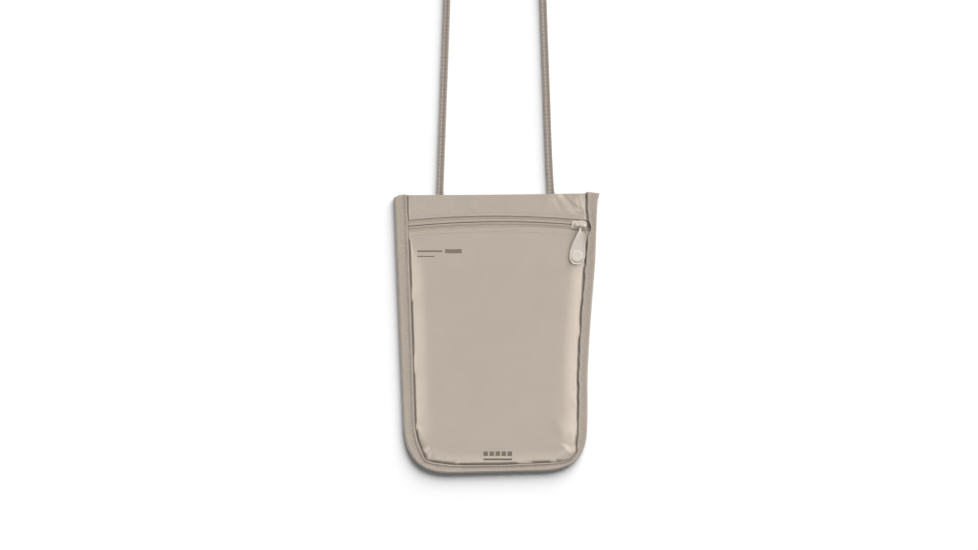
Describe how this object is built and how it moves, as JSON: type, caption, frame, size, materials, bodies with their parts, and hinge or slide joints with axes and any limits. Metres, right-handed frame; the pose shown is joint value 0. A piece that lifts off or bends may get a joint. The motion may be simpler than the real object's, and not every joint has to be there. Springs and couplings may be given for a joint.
{
  "type": "neck pouch wallet",
  "caption": "Flat fabric neck pouch with an arched zip, a sliding zip puller with a teardrop pull, bound edges and a braided neck cord.",
  "frame": {"origin": "middle of the pouch's footprint, on the surface that it lies on; the cord and its coil are not counted", "axes": "+X across the pouch, +Y up the pouch towards its neck cord, +Z out of the front panel"},
  "size_m": [0.1394, 0.4214, 0.0106],
  "materials": {
    "pouch_fabric": "satin coated nylon, fine plain weave",
    "binding_tape": "woven nylon tape",
    "lining": "metallised foil cloth",
    "zip_tape": "ribbed woven polyester",
    "zip_coil": "nylon monofilament",
    "thread": "matt polyester thread",
    "slider_metal": "plated die-cast zinc",
    "pull_enamel": "satin paint",
    "cord": "round braided polyester",
    "tie": "woven hook-and-loop strap"
  },
  "bodies": {
    "pouch": {"back_panel": "pouch_fabric", "back_lining": "lining", "front_lining": "lining", "front_panel": "pouch_fabric", "top_panel": "pouch_fabric", "edge_binding": "binding_tape", "binding_thread": "thread", "zip_tape_upper": "zip_tape", "zip_tape_lower": "zip_tape", "zip_coil_upper": "zip_coil", "zip_coil_lower": "zip_coil", "zip_thread_upper": "thread", "zip_thread_lower": "thread", "cord_anchor_left": "cord", "cord_anchor_right": "cord", "neck_cord_left": "cord", "neck_cord_right": "cord", "neck_cord_coil": "cord", "coil_tie": "tie"},
    "slider": {"slider_body": "slider_metal", "slider_bridge": "slider_metal"},
    "pull": {"pull_tab": "pull_enamel", "pull_disc": "pull_enamel"}
  },
  "joints": [
    {"name": "zip_travel", "type": "hinge", "parent": "pouch", "child": "slider", "pos_m": [0, -0.5442, 0.0035], "axis": [0, 0, 1], "range_deg": [0, 10.2]},
    {"name": "pull_flip", "type": "hinge", "parent": "slider", "child": "pull", "pos_m": [0.0575, 0.07313, 0.00645], "axis": [-0.9958, 0.0913, 0], "range_deg": [0, 165]}
  ]
}
